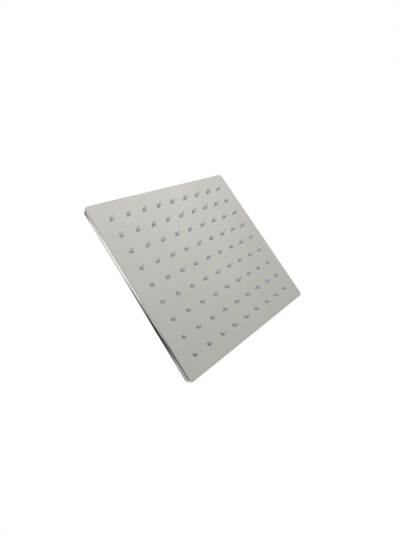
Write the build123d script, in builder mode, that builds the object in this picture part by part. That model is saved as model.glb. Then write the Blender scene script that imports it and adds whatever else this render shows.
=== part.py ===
from build123d import *

import os
from math import atan, atan2, cos, degrees, hypot, pi, radians, sin, sqrt

# Square rain shower head: a pressed steel shell with silicone nozzles, hung from a ball joint.
# Millimetres. +Z is up along the inlet, the spray face looks down,
# and the origin is the centre of the inlet's mouth.

# Shell: a square tray pressed from sheet, closed by a back plate
head_side = 200.0
head_thickness = 7.5
corner_radius = 4.5
face_edge_radius = 1.8
sheet = 0.8
weld_gap = 0.05

# Nozzles: tapered silicone plugs on a square grid, wedged in their holes from inside
nozzles_per_side = 9
nozzle_margin = 20.0
nozzle_height = 5.6
nozzle_base_radius = 2.9
nozzle_tip_radius = 0.95
nozzle_plug_depth = 1.0
orifice_radius = 0.5
nozzle_sides = 6
orifice_sides = 4

# Inlet: G1/2 female thread, drawn at its minor diameter, in a hexagon
thread_radius = 9.3155
thread_length = 9.5
hexagon_across_flats = 24.0
hexagon_chamfer = 0.8
groove_wall = 1.6
washer_thickness = 2.2
washer_hole_radius = 6.0
washer_fit = 0.15
washer_headroom = 0.3
inlet_floor = 3.0

# Ball and neck of the stem
ball_radius = 7.5
ball_end_angle = 109.0
neck_radius = 4.4
neck_length = 5.0
water_radius = 3.0

# Seal ring under the ball
ball_clearance = 0.1
seal_angle = 106.0
seal_width = 1.7
seal_height = 2.6

# Socket collar, welded into the back plate
collar_wall = 2.2
collar_bore_radius = 6.0
foot_margin = 0.6
foot_height = 2.0
foot_flank = 3.0

# Retaining nut
thread_clearance = 0.05
nut_wall = 2.6
nut_chamfer = 1.2
nut_gap = 0.6
nut_travel = 1.0
lip_radius = 6.5
lip_height = 2.0

# Heights of the inlet and the stem, down from the mouth
groove_radius = hexagon_across_flats / 2 - groove_wall
z_groove = -thread_length
z_seat = z_groove - washer_thickness - washer_headroom
z_hexagon = z_seat - inlet_floor
ball_rise = sqrt(ball_radius**2 - neck_radius**2)
z_ball = z_hexagon - neck_length - ball_rise

# The seal's inner edge rests on the ball, and its outer edge rests on the collar's cone
seal_contact = ball_radius + ball_clearance
seal_inner_radius = seal_contact * sin(radians(seal_angle))
seal_outer_radius = seal_inner_radius + seal_width
seal_top = seal_contact * cos(radians(seal_angle))
seal_bottom = seal_top - seal_height
socket_radius = hypot(seal_outer_radius, seal_bottom) + ball_clearance
cone_angle = atan2(seal_outer_radius, seal_bottom)


def cone_z(radius):
    """The height, at a radius, of the cone that the seal's outer edge rests on."""
    return z_ball + (socket_radius - radius * sin(cone_angle)) / cos(cone_angle)


# Heights of the socket, the nut and the shell
z_lip = z_ball + sqrt(seal_contact**2 - lip_radius**2)
z_nut_top = z_lip + lip_height
z_collar_top = z_lip - nut_travel
z_foot = cone_z(collar_bore_radius)
z_nut = z_foot + nut_gap
z_back = z_foot - foot_height
z_face = z_back - head_thickness

# Radii of the socket and the nut, out from the ball
collar_radius = socket_radius + collar_wall
nut_bore_radius = collar_radius + thread_clearance
nut_flat_radius = nut_bore_radius + nut_wall
foot_radius = nut_flat_radius / cos(pi / 6) + foot_margin

# Nozzle grid and taper
nozzle_pitch = (head_side - 2 * nozzle_margin) / (nozzles_per_side - 1)
nozzle_slope = (nozzle_base_radius - nozzle_tip_radius) / nozzle_height
nozzle_length = nozzle_height + sheet + nozzle_plug_depth
nozzle_plug_radius = nozzle_tip_radius + nozzle_slope * nozzle_length
nozzle_draft = degrees(atan(nozzle_slope * cos(pi / nozzle_sides)))
z_tip = z_face - nozzle_height
z_plug = z_tip + nozzle_length

os.makedirs("parts", exist_ok=True)


def write(part, label):
    """Names a finished piece and writes its file."""
    part.label = label
    export_step(part, f"parts/{label}.step")


# Nozzle blank: the outside of one plug, which also cuts its hole
with BuildPart() as nozzle_blank:
    with BuildSketch(Plane.XY.offset(z_plug)):
        RegularPolygon(nozzle_plug_radius, nozzle_sides)
    extrude(amount=-nozzle_length)
    plug_sides = nozzle_blank.faces().filter_by(Axis.Z, reverse=True)
    draft(plug_sides, Plane.XY.offset(z_plug), -nozzle_draft)

# One nozzle, with its orifice right through
with BuildPart() as nozzle:
    add(nozzle_blank.part)
    with BuildSketch(Plane.XY.offset(z_tip)):
        RegularPolygon(orifice_radius, orifice_sides)
    extrude(amount=nozzle_length, mode=Mode.SUBTRACT)

# Nozzle rows, front to back
for row in range(nozzles_per_side):
    row_y = (row - (nozzles_per_side - 1) / 2) * nozzle_pitch
    with BuildPart() as nozzle_row:
        with Locations((0, row_y)):
            with GridLocations(nozzle_pitch, nozzle_pitch, nozzles_per_side, 1):
                add(nozzle.part)
    write(nozzle_row.part, f"nozzle_row_{row + 1}")

# Face pan: the face and its four walls, pressed as one tray.
# The inside of its bend is flattened, and a sheet thicker than the bend has none.
pan_inside = head_side - 2 * sheet
pan_inside_radius = corner_radius - sheet
inside_bend = face_edge_radius - sheet
with BuildPart() as face_pan:
    with BuildSketch(Plane.XY.offset(z_face)):
        RectangleRounded(head_side, head_side, corner_radius)
    extrude(amount=head_thickness)
    fillet(face_pan.faces().sort_by(Axis.Z)[0].edges(), face_edge_radius)
    with BuildSketch(Plane.XY.offset(z_face + sheet)):
        RectangleRounded(pan_inside, pan_inside, pan_inside_radius)
    extrude(amount=head_thickness, mode=Mode.SUBTRACT)
    if inside_bend > 0:
        pan_floor = face_pan.faces().filter_by(Axis.Z).sort_by(Axis.Z)[1]
        chamfer(pan_floor.edges(), inside_bend)
    with GridLocations(nozzle_pitch, nozzle_pitch, nozzles_per_side, nozzles_per_side):
        add(nozzle_blank.part, mode=Mode.SUBTRACT)
write(face_pan.part, "face_pan")

# Back plate: set flush inside the pan's rim, with the socket collar welded into its centre
plate_side = pan_inside - 2 * weld_gap
with BuildPart() as back_plate:
    with BuildSketch(Plane.XY.offset(z_back - sheet)):
        RectangleRounded(plate_side, plate_side, pan_inside_radius - weld_gap)
        Circle(foot_radius, mode=Mode.SUBTRACT)
    extrude(amount=sheet)
    with BuildSketch(Plane.XZ):
        with BuildLine():
            Polyline(
                (collar_bore_radius, z_back - sheet),
                (foot_radius + foot_flank, z_back - sheet),
                (foot_radius + foot_flank, z_back),
                (foot_radius, z_foot),
                (collar_radius, z_foot),
                (collar_radius, z_collar_top),
                (socket_radius, z_collar_top),
                (socket_radius, cone_z(socket_radius)),
                (collar_bore_radius, z_foot),
                close=True,
            )
        make_face()
    revolve(axis=Axis.Z)
write(back_plate.part, "back_plate")

# Ball seal: rubber ring between the ball and the collar's cone
with BuildPart() as ball_seal:
    with BuildSketch(Plane.XY.offset(z_ball + seal_bottom)):
        Circle(seal_outer_radius)
        Circle(seal_inner_radius, mode=Mode.SUBTRACT)
    extrude(amount=seal_height)
write(ball_seal.part, "ball_seal")

# Retaining nut: hexagon whose lip holds the ball down on the seal
with BuildPart() as retaining_nut:
    with BuildSketch(Plane.XY.offset(z_nut)):
        RegularPolygon(nut_flat_radius, 6, major_radius=False)
    extrude(amount=z_nut_top - z_nut)
    chamfer(retaining_nut.faces().sort_by(Axis.Z)[-1].edges(), nut_chamfer)
    with BuildSketch(Plane.XY.offset(z_nut)):
        Circle(nut_bore_radius)
    extrude(amount=z_lip - z_nut, mode=Mode.SUBTRACT)
    with BuildSketch(Plane.XY.offset(z_lip)):
        Circle(lip_radius)
    extrude(amount=lip_height, mode=Mode.SUBTRACT)
write(retaining_nut.part, "retaining_nut")

# Ball stem: hexagon inlet, neck and ball, turned in one with the water way
ball_end_radius = ball_radius * sin(radians(ball_end_angle))
z_ball_end = z_ball + ball_radius * cos(radians(ball_end_angle))
with BuildPart() as ball_stem:
    with BuildSketch(Plane.XY.offset(z_hexagon)):
        RegularPolygon(hexagon_across_flats / 2, 6, major_radius=False)
    extrude(amount=-z_hexagon)
    chamfer(ball_stem.faces().filter_by(Axis.Z).edges(), hexagon_chamfer)
    with BuildSketch(Plane.XZ):
        with BuildLine():
            Polyline(
                (ball_end_radius, z_ball_end),
                (0, z_ball_end),
                (0, z_hexagon),
                (neck_radius, z_hexagon),
                (neck_radius, z_ball + ball_rise),
            )
            ThreePointArc(
                (neck_radius, z_ball + ball_rise),
                (ball_radius, z_ball),
                (ball_end_radius, z_ball_end),
            )
        make_face()
    revolve(axis=Axis.Z)
    with BuildSketch(Plane.XY.offset(z_ball_end)):
        Circle(water_radius)
    extrude(amount=-z_ball_end, mode=Mode.SUBTRACT)
    with BuildSketch(Plane.XY.offset(z_seat)):
        Circle(groove_radius)
    extrude(amount=z_groove - z_seat, mode=Mode.SUBTRACT)
    with BuildSketch(Plane.XY.offset(z_groove)):
        Circle(thread_radius)
    extrude(amount=thread_length, mode=Mode.SUBTRACT)
write(ball_stem.part, "ball_stem")

# Inlet washer: flat rubber ring on the stem's seat
with BuildPart() as inlet_washer:
    with BuildSketch(Plane.XY.offset(z_seat)):
        Circle(thread_radius - washer_fit)
        Circle(washer_hole_radius, mode=Mode.SUBTRACT)
    extrude(amount=washer_thickness)
write(inlet_washer.part, "inlet_washer")
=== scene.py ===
import math

import bmesh
import bpy
from mathutils import Matrix, Quaternion, Vector


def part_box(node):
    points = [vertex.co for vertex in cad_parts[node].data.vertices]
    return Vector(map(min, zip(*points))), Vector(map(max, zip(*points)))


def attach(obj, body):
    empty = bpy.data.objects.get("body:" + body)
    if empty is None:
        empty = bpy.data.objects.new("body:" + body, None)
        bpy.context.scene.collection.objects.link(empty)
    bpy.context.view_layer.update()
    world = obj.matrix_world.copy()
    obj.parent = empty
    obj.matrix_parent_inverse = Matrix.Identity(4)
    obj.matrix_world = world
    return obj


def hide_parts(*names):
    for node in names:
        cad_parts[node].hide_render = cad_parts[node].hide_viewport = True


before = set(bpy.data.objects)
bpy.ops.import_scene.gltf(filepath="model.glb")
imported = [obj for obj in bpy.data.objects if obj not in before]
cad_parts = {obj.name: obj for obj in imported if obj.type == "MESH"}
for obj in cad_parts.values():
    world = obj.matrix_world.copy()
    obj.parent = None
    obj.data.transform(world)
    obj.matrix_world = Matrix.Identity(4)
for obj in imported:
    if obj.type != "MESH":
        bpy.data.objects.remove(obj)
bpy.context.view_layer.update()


# Face pan
# The spray face and its four walls: one tray, drawn from stainless sheet and polished to a mirror.
# Its corners and its front edge are rounded, and a square grid of tapered holes is punched for the nozzles.
pan_low, pan_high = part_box("face_pan")
head_side = pan_high.x - pan_low.x
face_z = pan_low.z
rim_z = pan_high.z
sheet = 0.0008
corner_radius = 0.0045
front_edge_radius = 0.0018
rim_edge_radius = 0.0002
corner_segments = 14
front_edge_segments = 10
inside_bend_segments = 4
rim_edge_segments = 2
hole_segments = 32
same_level = 1e-6
same_point = 1e-7
eased_angle = math.radians(28)
crisp_angle = math.radians(40)
steel_pale = (0.60, 0.588, 0.566, 1)
steel_deep = (0.575, 0.562, 0.54, 1)
mirror_gloss = (0.03, 0.07)

nozzles_per_side = 9
nozzle_margin = 0.020
nozzle_pitch = (head_side - 2 * nozzle_margin) / (nozzles_per_side - 1)
nozzle_places = [(n - (nozzles_per_side - 1) / 2) * nozzle_pitch for n in range(nozzles_per_side)]
nozzle_base_radius = 0.00275
nozzle_tip_radius = 0.0007
nozzle_low, nozzle_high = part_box("nozzle_row_1")
tip_z = nozzle_low.z
plug_z = nozzle_high.z
nozzle_slope = (nozzle_base_radius - nozzle_tip_radius) / (face_z - tip_z)
plug_radius = nozzle_base_radius + nozzle_slope * (plug_z - face_z)


def moved_vertices(made):
    """The vertices that an operator has just made."""
    return [part for part in made["geom"] if isinstance(part, bmesh.types.BMVert)]


def lies_at(edge, z):
    """Whether both ends of an edge are at a height."""
    return all(abs(v.co.z - z) < same_level for v in edge.verts)


def rounded_square(bm, side, radius, z):
    """A level square with round corners, as one face."""
    made = bmesh.ops.create_grid(bm, x_segments=1, y_segments=1, size=side / 2)
    bmesh.ops.translate(bm, verts=made["verts"], vec=(0, 0, z))
    bmesh.ops.bevel(
        bm, geom=made["verts"], offset=radius, offset_type="OFFSET", segments=corner_segments,
        profile=0.5, affect="VERTICES", material=-1,
    )


def turned(bm, profile, steps):
    """Turns a closed profile of (radius, height) points about the Z axis."""
    points = [bm.verts.new((radius, 0, z)) for radius, z in profile]
    lines = [bm.edges.new(pair) for pair in zip(points, points[1:] + points[:1])]
    bmesh.ops.spin(
        bm, geom=points + lines, cent=(0, 0, 0), axis=(0, 0, 1),
        angle=2 * math.pi, steps=steps, use_merge=True,
    )


def finished(bm, name):
    """Turns a bmesh into a smooth object in the scene, with its faces pointing outwards."""
    bmesh.ops.remove_doubles(bm, verts=bm.verts, dist=same_point)
    bmesh.ops.recalc_face_normals(bm, faces=bm.faces)
    for face in bm.faces:
        face.smooth = True
    mesh = bpy.data.meshes.new(name)
    bm.to_mesh(mesh)
    bm.free()
    piece = bpy.data.objects.new(name, mesh)
    bpy.context.scene.collection.objects.link(piece)
    return piece


def carved(piece, tool, operation):
    """Cuts a piece with another solid, joins the two or keeps what they share, and removes the other."""
    carving = piece.modifiers.new("carving", "BOOLEAN")
    carving.object = tool
    carving.operation = operation
    carving.solver = "EXACT"
    graph = bpy.context.evaluated_depsgraph_get()
    mesh = bpy.data.meshes.new_from_object(piece.evaluated_get(graph))
    piece.modifiers.clear()
    piece.data = mesh
    bpy.data.objects.remove(tool)


def eased(piece, width):
    """Rounds the sharp edges a little, or leaves them crisp, and shades flat faces flat up to them."""
    if width:
        edges = piece.modifiers.new("eased_edges", "BEVEL")
        edges.width = width
        edges.segments = 2
        edges.limit_method = "ANGLE"
        edges.angle_limit = eased_angle
    else:
        piece.data.set_sharp_from_angle(angle=crisp_angle)
    shading = piece.modifiers.new("flat_faces", "WEIGHTED_NORMAL")
    shading.keep_sharp = True


def polished_steel(name, gloss_range):
    """Polished stainless sheet: warm grey, with a faint drift in tone and buffing lines in its gloss."""
    material = bpy.data.materials.new(name)
    material.use_nodes = True
    nodes = material.node_tree.nodes
    link = material.node_tree.links.new
    shader = nodes["Principled BSDF"]
    shader.inputs["Metallic"].default_value = 1.0
    place = nodes.new("ShaderNodeTexCoord")
    drift = nodes.new("ShaderNodeTexNoise")
    drift.inputs["Scale"].default_value = 14.0
    drift.inputs["Detail"].default_value = 3.0
    tone = nodes.new("ShaderNodeValToRGB")
    tone.color_ramp.elements[0].position = 0.3
    tone.color_ramp.elements[0].color = steel_deep
    tone.color_ramp.elements[1].position = 0.7
    tone.color_ramp.elements[1].color = steel_pale
    buffing = nodes.new("ShaderNodeMapping")
    buffing.inputs["Scale"].default_value = (30.0, 900.0, 30.0)
    lines = nodes.new("ShaderNodeTexNoise")
    lines.inputs["Scale"].default_value = 1.0
    lines.inputs["Detail"].default_value = 2.0
    gloss = nodes.new("ShaderNodeMapRange")
    gloss.inputs["From Min"].default_value = 0.3
    gloss.inputs["From Max"].default_value = 0.7
    gloss.inputs["To Min"].default_value = gloss_range[0]
    gloss.inputs["To Max"].default_value = gloss_range[1]
    link(place.outputs["Object"], drift.inputs["Vector"])
    link(drift.outputs["Fac"], tone.inputs["Fac"])
    link(tone.outputs["Color"], shader.inputs["Base Color"])
    link(place.outputs["Object"], buffing.inputs["Vector"])
    link(buffing.outputs["Vector"], lines.inputs["Vector"])
    link(lines.outputs["Fac"], gloss.inputs["Value"])
    link(gloss.outputs["Result"], shader.inputs["Roughness"])
    return material


mirror_steel = polished_steel("mirror_polished_steel", mirror_gloss)

bm = bmesh.new()
rounded_square(bm, head_side, corner_radius, face_z)
walls = bmesh.ops.extrude_face_region(bm, geom=bm.faces[:])
bmesh.ops.translate(bm, verts=moved_vertices(walls), vec=(0, 0, rim_z - face_z))
bmesh.ops.recalc_face_normals(bm, faces=bm.faces)
inside = [face for face in bm.faces if face.normal.z > 0.9]
bmesh.ops.inset_region(bm, faces=inside, thickness=sheet, use_even_offset=True)
pocket = bmesh.ops.extrude_face_region(bm, geom=inside)
bmesh.ops.delete(bm, geom=inside, context="FACES_ONLY")
bmesh.ops.translate(bm, verts=moved_vertices(pocket), vec=(0, 0, face_z + sheet - rim_z))
front_edges = [edge for edge in bm.edges if lies_at(edge, face_z)]
bmesh.ops.bevel(
    bm, geom=front_edges, offset=front_edge_radius, offset_type="OFFSET", segments=front_edge_segments,
    profile=0.5, affect="EDGES", material=-1,
)
floor_edges = [edge for edge in bm.edges if lies_at(edge, face_z + sheet)]
bmesh.ops.bevel(
    bm, geom=floor_edges, offset=front_edge_radius - sheet, offset_type="OFFSET",
    segments=inside_bend_segments, profile=0.5, affect="EDGES", material=-1,
)
rim_edges = [edge for edge in bm.edges if lies_at(edge, rim_z) and edge.calc_face_angle(0) > 1]
bmesh.ops.bevel(
    bm, geom=rim_edges, offset=rim_edge_radius, offset_type="OFFSET", segments=rim_edge_segments,
    profile=0.5, affect="EDGES", material=-1,
)
for cut in [place + nozzle_pitch / 2 for place in nozzle_places[:-1]]:
    for across in ((1, 0, 0), (0, 1, 0)):
        everything = bm.verts[:] + bm.edges[:] + bm.faces[:]
        bmesh.ops.bisect_plane(bm, geom=everything, plane_co=Vector(across) * cut, plane_no=across)
pan = finished(bm, "polished_face_pan")

punch = bmesh.new()
for x in nozzle_places:
    for y in nozzle_places:
        made = bmesh.ops.create_cone(
            punch, cap_ends=True, segments=hole_segments, radius1=nozzle_tip_radius,
            radius2=plug_radius, depth=plug_z - tip_z,
        )
        bmesh.ops.translate(punch, verts=made["verts"], vec=(x, y, (tip_z + plug_z) / 2))
carved(pan, finished(punch, "nozzle_punch"), "DIFFERENCE")
eased(pan, 0)
pan.data.materials.append(mirror_steel)
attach(pan, "head")
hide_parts("face_pan")


# Nozzles
# 81 soft silicone nubs, each moulded with a fine jet hole and wedged in its tapered hole from inside.
# They are see-through enough to look blue-grey, and they bend under a thumb to break off lime.
jet_radius = 0.0004
tip_rounding = 0.0003
shoulder_rounding = 0.0004
shoulder_drop = 0.0030
shoulder_z = face_z - shoulder_drop
nub_steps = 24
silicone_root = (0.62, 0.72, 0.90, 1)
# Painted light: the tip colour is near white, standing in for light that shows through the thin tip and
# falls on it.
silicone_tip_painted_light = (0.97, 0.99, 1.0, 1)


def grey_silicone():
    """Translucent blue-grey silicone with a satin skin, painted paler toward its thin tip as painted light
    for the light that shows through the tip and falls on it.
    """
    material = bpy.data.materials.new("blue_grey_silicone")
    material.use_nodes = True
    nodes = material.node_tree.nodes
    link = material.node_tree.links.new
    shader = nodes["Principled BSDF"]
    shader.inputs["Roughness"].default_value = 0.42
    shader.inputs["IOR"].default_value = 1.41
    shader.inputs["Subsurface Weight"].default_value = 0.5
    shader.inputs["Subsurface Radius"].default_value = (0.6, 0.8, 1.0)
    shader.inputs["Subsurface Scale"].default_value = 0.001
    place = nodes.new("ShaderNodeTexCoord")
    axes = nodes.new("ShaderNodeSeparateXYZ")
    cloud = nodes.new("ShaderNodeTexNoise")
    cloud.inputs["Scale"].default_value = 220.0
    cloud.inputs["Detail"].default_value = 2.0
    depth = nodes.new("ShaderNodeMapRange")
    depth.inputs["From Min"].default_value = face_z
    depth.inputs["From Max"].default_value = tip_z
    cloudy = nodes.new("ShaderNodeMath")
    cloudy.operation = "MULTIPLY_ADD"
    cloudy.inputs[1].default_value = 0.1
    shifted = nodes.new("ShaderNodeMath")
    shifted.operation = "SUBTRACT"
    shifted.inputs[1].default_value = 0.05
    # Painted light: blue-grey at the root, painted paler toward the tip for the light through and on the
    # thin tip.
    tone = nodes.new("ShaderNodeValToRGB")
    tone.color_ramp.elements[0].position = 0.1
    tone.color_ramp.elements[0].color = silicone_root
    tone.color_ramp.elements[1].position = 0.6
    tone.color_ramp.elements[1].color = silicone_tip_painted_light
    link(place.outputs["Object"], cloud.inputs["Vector"])
    link(place.outputs["Object"], axes.inputs["Vector"])
    link(axes.outputs["Z"], depth.inputs["Value"])
    link(cloud.outputs["Fac"], cloudy.inputs[0])
    link(depth.outputs["Result"], cloudy.inputs[2])
    link(cloudy.outputs["Value"], shifted.inputs[0])
    link(shifted.outputs["Value"], tone.inputs["Fac"])
    link(tone.outputs["Color"], shader.inputs["Base Color"])
    return material


silicone = grey_silicone()

nub = bmesh.new()
turned(
    nub,
    [
        (jet_radius, plug_z),
        (jet_radius, tip_z + tip_rounding / 2),
        (jet_radius + tip_rounding / 2, tip_z),
        (nozzle_tip_radius - tip_rounding, tip_z),
        (nozzle_tip_radius - tip_rounding * 0.3, tip_z + tip_rounding * 0.25),
        (nozzle_tip_radius, tip_z + tip_rounding),
        (nozzle_tip_radius + tip_rounding / 2, shoulder_z - shoulder_rounding),
        (nozzle_tip_radius + 2 * tip_rounding, shoulder_z),
        (nozzle_base_radius, face_z),
        (plug_radius, plug_z),
    ],
    nub_steps,
)
one_nub = bpy.data.meshes.new("one_nub")
nub.to_mesh(one_nub)
nub.free()

for row, y in enumerate(nozzle_places, start=1):
    bm = bmesh.new()
    for x in nozzle_places:
        started = len(bm.verts)
        bm.from_mesh(one_nub)
        bm.verts.ensure_lookup_table()
        bmesh.ops.translate(bm, verts=bm.verts[started:], vec=(x, y, 0))
    nubs = finished(bm, f"silicone_nubs_{row}")
    eased(nubs, 0)
    nubs.data.materials.append(silicone)
    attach(nubs, "head")
    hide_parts(f"nozzle_row_{row}")


# Back plate
# The sheet that closes the tray, welded flush inside its rim and brought to a satin polish.
# The turned collar in its middle is welded in from below, and its wide foot stiffens the sheet.
plate_low, plate_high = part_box("back_plate")
plate_side = plate_high.x - plate_low.x
plate_corner = corner_radius - (head_side - plate_side) / 2
plate_top = plate_low.z + sheet
collar_top = plate_high.z
collar_bottom = plate_low.z + sheet / 8
collar_radius = 0.012456
socket_radius = 0.010256
seat_z = -0.02859
water_hole_radius = 0.006
foot_height = 0.002
foot_top = plate_top + foot_height
foot_radius = 0.018043
foot_flank = 0.003
foot_edge = 0.0005
collar_steps = 72
plate_edge_width = 0.00008
satin_gloss = (0.24, 0.32)
satin_steel = polished_steel("satin_polished_steel", satin_gloss)

bm = bmesh.new()
rounded_square(bm, plate_side, plate_corner, plate_low.z)
raised = bmesh.ops.extrude_face_region(bm, geom=bm.faces[:])
bmesh.ops.translate(bm, verts=moved_vertices(raised), vec=(0, 0, sheet))
plate = finished(bm, "polished_back_plate")

punch = bmesh.new()
bmesh.ops.create_cone(
    punch, cap_ends=True, segments=collar_steps, radius1=foot_radius, radius2=foot_radius,
    depth=8 * sheet,
)
bmesh.ops.translate(punch, verts=punch.verts, vec=(0, 0, plate_top))
carved(plate, finished(punch, "collar_punch"), "DIFFERENCE")

bm = bmesh.new()
turned(
    bm,
    [
        (foot_radius + foot_flank, collar_bottom),
        (foot_radius + foot_flank, plate_top - sheet / 4),
        (foot_radius + foot_edge, foot_top - foot_edge * 0.5),
        (foot_radius + foot_edge * 0.3, foot_top - foot_edge * 0.08),
        (foot_radius - foot_edge, foot_top),
        (collar_radius, foot_top),
        (collar_radius, collar_top),
        (socket_radius, collar_top),
        (socket_radius, seat_z),
        (water_hole_radius, foot_top),
        (water_hole_radius, collar_bottom),
    ],
    collar_steps,
)
carved(plate, finished(bm, "turned_collar"), "UNION")
eased(plate, plate_edge_width)
plate.data.materials.append(satin_steel)
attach(plate, "head")
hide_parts("back_plate")


# Ball seal
# A black rubber ring under the ball, squeezed between it and the collar's cone by the nut.
# It is hidden inside the socket, so its solid is kept and only gets its finish.
rubber_deep = (0.016, 0.016, 0.017, 1)
rubber_pale = (0.045, 0.045, 0.047, 1)


def black_rubber():
    """Moulded black rubber with a dull, slightly grainy skin."""
    material = bpy.data.materials.new("dull_black_rubber")
    material.use_nodes = True
    nodes = material.node_tree.nodes
    link = material.node_tree.links.new
    shader = nodes["Principled BSDF"]
    place = nodes.new("ShaderNodeTexCoord")
    grain = nodes.new("ShaderNodeTexNoise")
    grain.inputs["Scale"].default_value = 900.0
    grain.inputs["Detail"].default_value = 3.0
    tone = nodes.new("ShaderNodeValToRGB")
    tone.color_ramp.elements[0].color = rubber_deep
    tone.color_ramp.elements[1].color = rubber_pale
    dull = nodes.new("ShaderNodeMapRange")
    dull.inputs["To Min"].default_value = 0.55
    dull.inputs["To Max"].default_value = 0.8
    relief = nodes.new("ShaderNodeBump")
    relief.inputs["Strength"].default_value = 0.25
    relief.inputs["Distance"].default_value = 0.0001
    link(place.outputs["Object"], grain.inputs["Vector"])
    link(grain.outputs["Fac"], tone.inputs["Fac"])
    link(tone.outputs["Color"], shader.inputs["Base Color"])
    link(grain.outputs["Fac"], dull.inputs["Value"])
    link(dull.outputs["Result"], shader.inputs["Roughness"])
    link(grain.outputs["Fac"], relief.inputs["Height"])
    link(relief.outputs["Normal"], shader.inputs["Normal"])
    return material


def coat_solid(name, material):
    """Gives a solid that is kept as it is its finish."""
    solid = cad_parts[name]
    solid.data.materials.clear()
    solid.data.materials.append(material)


rubber = black_rubber()
coat_solid("ball_seal", rubber)


# Retaining nut
# A chrome-plated brass hexagon that screws down over the collar and holds the ball on its seal.
# Its top corners are turned off at a slant, and its lip is opened out for the neck to tilt in.
nut_low, nut_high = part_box("retaining_nut")
nut_flat_radius = (nut_high.y - nut_low.y) / 2
nut_corner_radius = nut_flat_radius / math.cos(math.pi / 6)
nut_bore_radius = 0.012506
nut_crown_inset = 0.0006
nut_crown_radius = nut_flat_radius - nut_crown_inset
nut_crown_drop = 0.0016
lip_radius = 0.0065
lip_height = 0.002
lip_opening = 0.0006
nut_steps = 96
bar_overshoot = 0.001
plated_edge_width = 0.00018
chrome_pale = (0.62, 0.625, 0.64, 1)
chrome_deep = (0.58, 0.585, 0.60, 1)


def chrome_plate():
    """Bright chrome plating: cool grey, very glossy, with faint wipe marks."""
    material = bpy.data.materials.new("bright_chrome_plate")
    material.use_nodes = True
    nodes = material.node_tree.nodes
    link = material.node_tree.links.new
    shader = nodes["Principled BSDF"]
    shader.inputs["Metallic"].default_value = 1.0
    place = nodes.new("ShaderNodeTexCoord")
    wipe = nodes.new("ShaderNodeTexNoise")
    wipe.inputs["Scale"].default_value = 160.0
    wipe.inputs["Detail"].default_value = 4.0
    tone = nodes.new("ShaderNodeValToRGB")
    tone.color_ramp.elements[0].position = 0.3
    tone.color_ramp.elements[0].color = chrome_deep
    tone.color_ramp.elements[1].position = 0.7
    tone.color_ramp.elements[1].color = chrome_pale
    gloss = nodes.new("ShaderNodeMapRange")
    gloss.inputs["From Min"].default_value = 0.3
    gloss.inputs["From Max"].default_value = 0.7
    gloss.inputs["To Min"].default_value = 0.04
    gloss.inputs["To Max"].default_value = 0.1
    link(place.outputs["Object"], wipe.inputs["Vector"])
    link(wipe.outputs["Fac"], tone.inputs["Fac"])
    link(tone.outputs["Color"], shader.inputs["Base Color"])
    link(wipe.outputs["Fac"], gloss.inputs["Value"])
    link(gloss.outputs["Result"], shader.inputs["Roughness"])
    return material


def hexagon_bar(corner, low, high):
    """A hexagon bar with corners on the X axis, to shape turned pieces with."""
    bm = bmesh.new()
    quarter_turn = Matrix.Rotation(math.pi / 2, 4, "Z")
    bmesh.ops.create_circle(bm, cap_ends=True, segments=6, radius=corner, matrix=quarter_turn)
    bmesh.ops.translate(bm, verts=bm.verts, vec=(0, 0, low))
    grown = bmesh.ops.extrude_face_region(bm, geom=bm.faces[:])
    bmesh.ops.translate(bm, verts=moved_vertices(grown), vec=(0, 0, high - low))
    return finished(bm, "hexagon_bar")


chrome = chrome_plate()

bm = bmesh.new()
turned(
    bm,
    [
        (nut_bore_radius, nut_low.z),
        (nut_crown_radius, nut_low.z),
        (nut_corner_radius, nut_low.z + nut_crown_drop / 2),
        (nut_corner_radius, nut_high.z - nut_crown_drop),
        (nut_crown_radius, nut_high.z),
        (lip_radius + lip_opening, nut_high.z),
        (lip_radius, nut_high.z - lip_height / 2),
        (lip_radius, nut_high.z - lip_height),
        (nut_bore_radius, nut_high.z - lip_height),
    ],
    nut_steps,
)
nut = finished(bm, "chrome_retaining_nut")
nut_bar = hexagon_bar(nut_corner_radius, nut_low.z - bar_overshoot, nut_high.z + bar_overshoot)
carved(nut, nut_bar, "INTERSECT")
eased(nut, plated_edge_width)
nut.data.materials.append(chrome)
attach(nut, "head")
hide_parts("retaining_nut")


# Ball stem
# The inlet: a hexagon with the water pipe's thread inside, then a neck and a ball, turned from one bar.
# It is chrome-plated brass, and the ball's lower end is cut flat for the water.
stem_low, stem_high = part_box("ball_stem")
stem_flat_radius = (stem_high.y - stem_low.y) / 2
stem_corner_radius = stem_flat_radius / math.cos(math.pi / 6)
hexagon_height = 0.015
hexagon_crown = 0.0012
ball_radius = 0.0075
neck_radius = 0.0044
neck_length = 0.005
water_radius = 0.003
thread_crest_radius = 0.0093155
thread_root_radius = 0.0104
thread_length = 0.0095
thread_pitch = 0.001814
crest_start = 0.38 * thread_pitch
crest_end = 0.52 * thread_pitch
ridge_end = 0.9 * thread_pitch
washer_seat_z = -0.012
mouth_chamfer = 0.0006
ball_z = -hexagon_height - neck_length - math.sqrt(ball_radius**2 - neck_radius**2)
ball_end = math.acos((stem_low.z - ball_z) / ball_radius)
ball_start = math.asin(neck_radius / ball_radius)
ball_bands = 22
stem_steps = 72
ball_arc = [ball_start + (ball_end - ball_start) * n / ball_bands for n in range(ball_bands + 1)]

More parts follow.
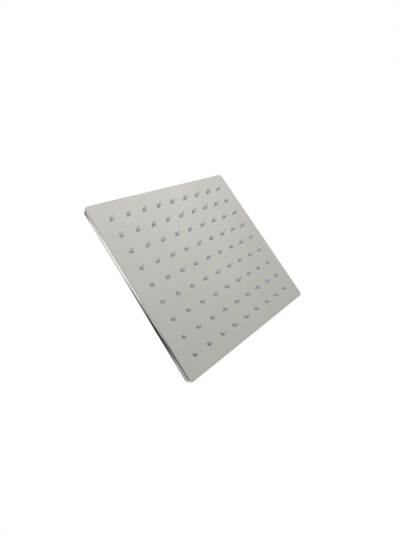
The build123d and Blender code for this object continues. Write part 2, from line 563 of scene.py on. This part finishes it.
bm = bmesh.new()
turned(
    bm,
    [
        (water_radius, stem_low.z),
        (water_radius, washer_seat_z),
        (thread_root_radius, washer_seat_z),
        (thread_root_radius, -mouth_chamfer),
        (thread_root_radius + mouth_chamfer, 0),
        (stem_flat_radius - hexagon_crown / 4, 0),
        (stem_corner_radius, -hexagon_crown),
        (stem_corner_radius, hexagon_crown - hexagon_height),
        (stem_flat_radius - hexagon_crown / 4, -hexagon_height),
        (neck_radius, -hexagon_height),
    ]
    + [(ball_radius * math.sin(angle), ball_z + ball_radius * math.cos(angle)) for angle in ball_arc],
    stem_steps,
)
stem = finished(bm, "chrome_ball_stem")
stem_bar = hexagon_bar(stem_corner_radius, stem_low.z - bar_overshoot, bar_overshoot)
carved(stem, stem_bar, "INTERSECT")
eased(stem, plated_edge_width)
stem.data.materials.append(chrome)
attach(stem, "inlet")
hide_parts("ball_stem")

steps_a_turn = 48
thread_turns = (thread_length - thread_pitch) / thread_pitch
thread_steps = round(steps_a_turn * thread_turns)
bm = bmesh.new()
ridge = [
    bm.verts.new((radius, 0, z))
    for radius, z in (
        (thread_root_radius, -mouth_chamfer),
        (thread_crest_radius, -mouth_chamfer - crest_start),
        (thread_crest_radius, -mouth_chamfer - crest_end),
        (thread_root_radius, -mouth_chamfer - ridge_end),
    )
]
section = bm.faces.new(ridge)
bmesh.ops.spin(
    bm, geom=[section], cent=(0, 0, 0), axis=(0, 0, 1),
    angle=2 * math.pi * thread_steps / steps_a_turn, steps=thread_steps,
    dvec=(0, 0, -thread_pitch / steps_a_turn),
)
thread = finished(bm, "inlet_thread_ridge")
eased(thread, 0)
thread.data.materials.append(chrome)
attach(thread, "inlet")


# Inlet washer
# A flat black rubber ring on the stem's seat, which the shower arm presses when it is screwed in.
# Its solid is plain enough to be kept, so it only gets its finish.
coat_solid("inlet_washer", rubber)


# Floor
# A plain pale studio floor, well below the head, which hangs as it does from its arm.
# The polished face looks down on it, so its tone is what the face mirrors.
floor_z = -0.55
floor_size = 6.0
floor_deep = (0.78, 0.775, 0.765, 1)
floor_pale = (0.82, 0.815, 0.805, 1)


def studio_floor():
    """Matt pale floor paint with a very faint mottle."""
    material = bpy.data.materials.new("pale_floor_paint")
    material.use_nodes = True
    nodes = material.node_tree.nodes
    link = material.node_tree.links.new
    shader = nodes["Principled BSDF"]
    shader.inputs["Roughness"].default_value = 0.9
    place = nodes.new("ShaderNodeTexCoord")
    mottle = nodes.new("ShaderNodeTexNoise")
    mottle.inputs["Scale"].default_value = 3.0
    tone = nodes.new("ShaderNodeValToRGB")
    tone.color_ramp.elements[0].color = floor_deep
    tone.color_ramp.elements[1].color = floor_pale
    link(place.outputs["Object"], mottle.inputs["Vector"])
    link(mottle.outputs["Fac"], tone.inputs["Fac"])
    link(tone.outputs["Color"], shader.inputs["Base Color"])
    return material


bm = bmesh.new()
bmesh.ops.create_grid(bm, x_segments=1, y_segments=1, size=floor_size / 2)
bmesh.ops.translate(bm, verts=bm.verts, vec=(0, 0, floor_z))
floor = finished(bm, "studio_floor")
floor.data.materials.append(studio_floor())


# Light
# White surroundings, as in a light tent, which the camera and the polished metal see as plain white.
# A large soft lamp hangs to one side over the floor, and a small one in front is there to be mirrored.
world = bpy.data.worlds.new("light_tent")
bpy.context.scene.world = world
world.use_nodes = True
tent = world.node_tree.nodes
tent_link = world.node_tree.links.new
tent["Background"].inputs["Color"].default_value = (1.0, 0.99, 0.975, 1)
tent["Background"].inputs["Strength"].default_value = 0.64
white = tent.new("ShaderNodeBackground")
white.inputs["Color"].default_value = (1.0, 1.0, 1.0, 1)
white.inputs["Strength"].default_value = 1.0
rays = tent.new("ShaderNodeLightPath")
mirrored_or_clear = tent.new("ShaderNodeMath")
mirrored_or_clear.operation = "MAXIMUM"
seen_or_mirrored = tent.new("ShaderNodeMath")
seen_or_mirrored.operation = "MAXIMUM"
pick = tent.new("ShaderNodeMixShader")
tent_link(rays.outputs["Is Glossy Ray"], mirrored_or_clear.inputs[0])
tent_link(rays.outputs["Is Transmission Ray"], mirrored_or_clear.inputs[1])
tent_link(rays.outputs["Is Camera Ray"], seen_or_mirrored.inputs[0])
tent_link(mirrored_or_clear.outputs["Value"], seen_or_mirrored.inputs[1])
tent_link(seen_or_mirrored.outputs["Value"], pick.inputs["Fac"])
tent_link(tent["Background"].outputs["Background"], pick.inputs[1])
tent_link(white.outputs["Background"], pick.inputs[2])
tent_link(pick.outputs["Shader"], tent["World Output"].inputs["Surface"])


def soft_lamp(name, place, aim, size, power, mirrored):
    """A square soft lamp that looks at a point, and that polished metal mirrors or not."""
    lamp = bpy.data.lights.new(name, "AREA")
    lamp.size = size
    lamp.energy = power
    holder = bpy.data.objects.new(name, lamp)
    holder.location = place
    holder.rotation_mode = "QUATERNION"
    holder.rotation_quaternion = (Vector(aim) - Vector(place)).to_track_quat("-Z", "Y")
    holder.visible_camera = False
    holder.visible_glossy = mirrored
    bpy.context.scene.collection.objects.link(holder)


soft_lamp(
    "side_lamp", place=(0.75, 0.45, 0.55), aim=(0.5, 0.45, floor_z),
    size=0.7, power=10, mirrored=False,
)
soft_lamp(
    "front_lamp", place=(0.40, -1.2, 0.40), aim=(0, 0, 0),
    size=0.42, power=1.5, mirrored=True,
)


# Flags
# Sheets of black studio net on stands round the head, which the camera never sees.
# The polished metal mirrors them: the dark stretch on the front wall and the thin dark outlines.
# The near one isn't mirrored, and only keeps light off the nozzles.
net_black = (0.015, 0.014, 0.013, 1)


def black_net(name, stops):
    """Black net whose weave closes up across its width: stops are (place along X, how much it hides)."""
    material = bpy.data.materials.new(name)
    material.use_nodes = True
    nodes = material.node_tree.nodes
    link = material.node_tree.links.new
    shader = nodes["Principled BSDF"]
    shader.inputs["Base Color"].default_value = net_black
    shader.inputs["Roughness"].default_value = 0.95
    shader.inputs["Specular IOR Level"].default_value = 0.1
    place = nodes.new("ShaderNodeTexCoord")
    axes = nodes.new("ShaderNodeSeparateXYZ")
    across = nodes.new("ShaderNodeMapRange")
    across.inputs["From Min"].default_value = stops[0][0]
    across.inputs["From Max"].default_value = stops[-1][0]
    weave = nodes.new("ShaderNodeValToRGB")
    width = stops[-1][0] - stops[0][0]
    for x, hidden in stops[1:-1]:
        weave.color_ramp.elements.new((x - stops[0][0]) / width)
    for stop, (x, hidden) in zip(weave.color_ramp.elements, stops):
        stop.color = (hidden, hidden, hidden, 1)
    link(place.outputs["Object"], axes.inputs["Vector"])
    link(axes.outputs["X"], across.inputs["Value"])
    link(across.outputs["Result"], weave.inputs["Fac"])
    link(weave.outputs["Color"], shader.inputs["Alpha"])
    return material


def level_edges(left, right, rails):
    """Edges that all run from left to right along X, one at each (y, z) rail."""
    return [((left, y, z), (right, y, z)) for y, z in rails]


def flag(name, edges, material, shades, mirrored):
    """A sheet of net through pairs of edge ends, which may shade what it faces and may be mirrored."""
    bm = bmesh.new()
    seams = [[bm.verts.new(end) for end in edge] for edge in edges]
    for (left, right), (next_left, next_right) in zip(seams, seams[1:]):
        bm.faces.new((left, right, next_right, next_left))
    sheet_of_net = finished(bm, name)
    sheet_of_net.data.materials.append(material)
    sheet_of_net.visible_camera = False
    sheet_of_net.visible_diffuse = shades
    sheet_of_net.visible_glossy = mirrored
    sheet_of_net.visible_shadow = False


upper_stops = [
    (-0.42, 0.48), (-0.15, 0.45), (-0.118, 0.72), (-0.084, 0.9),
    (-0.016, 0.98), (0.053, 0.77), (0.121, 0.5), (0.19, 0.0),
]
upper_edges = level_edges(-0.42, 0.19, [(-0.25, 0.53), (-0.44, 0.40)])
flag("upper_flag", upper_edges, black_net("upper_net", upper_stops), shades=False, mirrored=True)

middle_stops = [(-0.20, 0.0), (-0.12, 0.55), (-0.085, 0.75), (-0.05, 0.65), (-0.01, 0.0)]
middle_edges = level_edges(-0.20, -0.01, [(-0.44, 0.40), (-0.64, -0.08)])
flag("middle_flag", middle_edges, black_net("middle_net", middle_stops), shades=False, mirrored=True)

lower_stops = [(-0.42, 0.9), (-0.10, 1.0), (-0.03, 0.0)]
lower_edges = level_edges(-0.42, -0.03, [(-0.64, -0.08), (-0.70, -0.50)])
flag("lower_flag", lower_edges, black_net("lower_net", lower_stops), shades=True, mirrored=True)

high_stops = [(0.40, 0.0), (0.46, 0.95), (0.75, 0.95)]
high_edges = level_edges(0.40, 0.75, [(-0.36, 0.50), (0.20, 0.62)])
flag("high_flag", high_edges, black_net("high_net", high_stops), shades=False, mirrored=True)

side_stops = [(0.36, 0.0), (0.40, 0.9), (0.48, 0.9), (0.60, 0.0)]
side_edges = [((0.36, -0.02, z), (0.60, 0.34, z)) for z in (0.50, -0.03)]
flag("side_flag", side_edges, black_net("side_net", side_stops), shades=False, mirrored=True)

foot_stops = [(-0.42, 0.8), (-0.10, 0.8), (-0.03, 0.0)]
foot_edges = level_edges(-0.42, -0.05, [(-0.70, -0.50), (-0.36, -0.53)])
flag("flag_foot", foot_edges, black_net("foot_net", foot_stops), shades=False, mirrored=True)

near_stops = [(-0.30, 1.0), (-0.05, 1.0), (-0.02, 0.0)]
near_edges = level_edges(-0.30, -0.02, [(-0.15, -0.04), (-0.17, -0.24), (-0.06, -0.30)])
flag("near_flag", near_edges, black_net("near_net", near_stops), shades=True, mirrored=False)


# Camera
# It stands below the head and in front of it, close by, and is turned on its side as in the photograph.
aim_point = Vector((-0.0264, -0.0512, face_z))
camera_distance = 0.2616
camera_azimuth = math.radians(-9.89)
camera_elevation = math.radians(-58.0)
camera_roll = math.radians(-130.6)
back = Vector((
    math.sin(camera_azimuth) * math.cos(camera_elevation),
    -math.cos(camera_azimuth) * math.cos(camera_elevation),
    math.sin(camera_elevation),
))
camera = bpy.data.objects.new("camera", bpy.data.cameras.new("camera"))
camera.data.sensor_width = 36.0
camera.data.lens = 16.97
camera.data.shift_x = 0.0225
camera.data.shift_y = 0.0525
camera.data.clip_start = 0.01
camera.location = aim_point + back * camera_distance
camera.rotation_mode = "QUATERNION"
camera.rotation_quaternion = (-back).to_track_quat("-Z", "Y") @ Quaternion((0, 0, 1), camera_roll)
bpy.context.scene.collection.objects.link(camera)
bpy.context.scene.camera = camera
bpy.context.scene.view_settings.view_transform = "Standard"
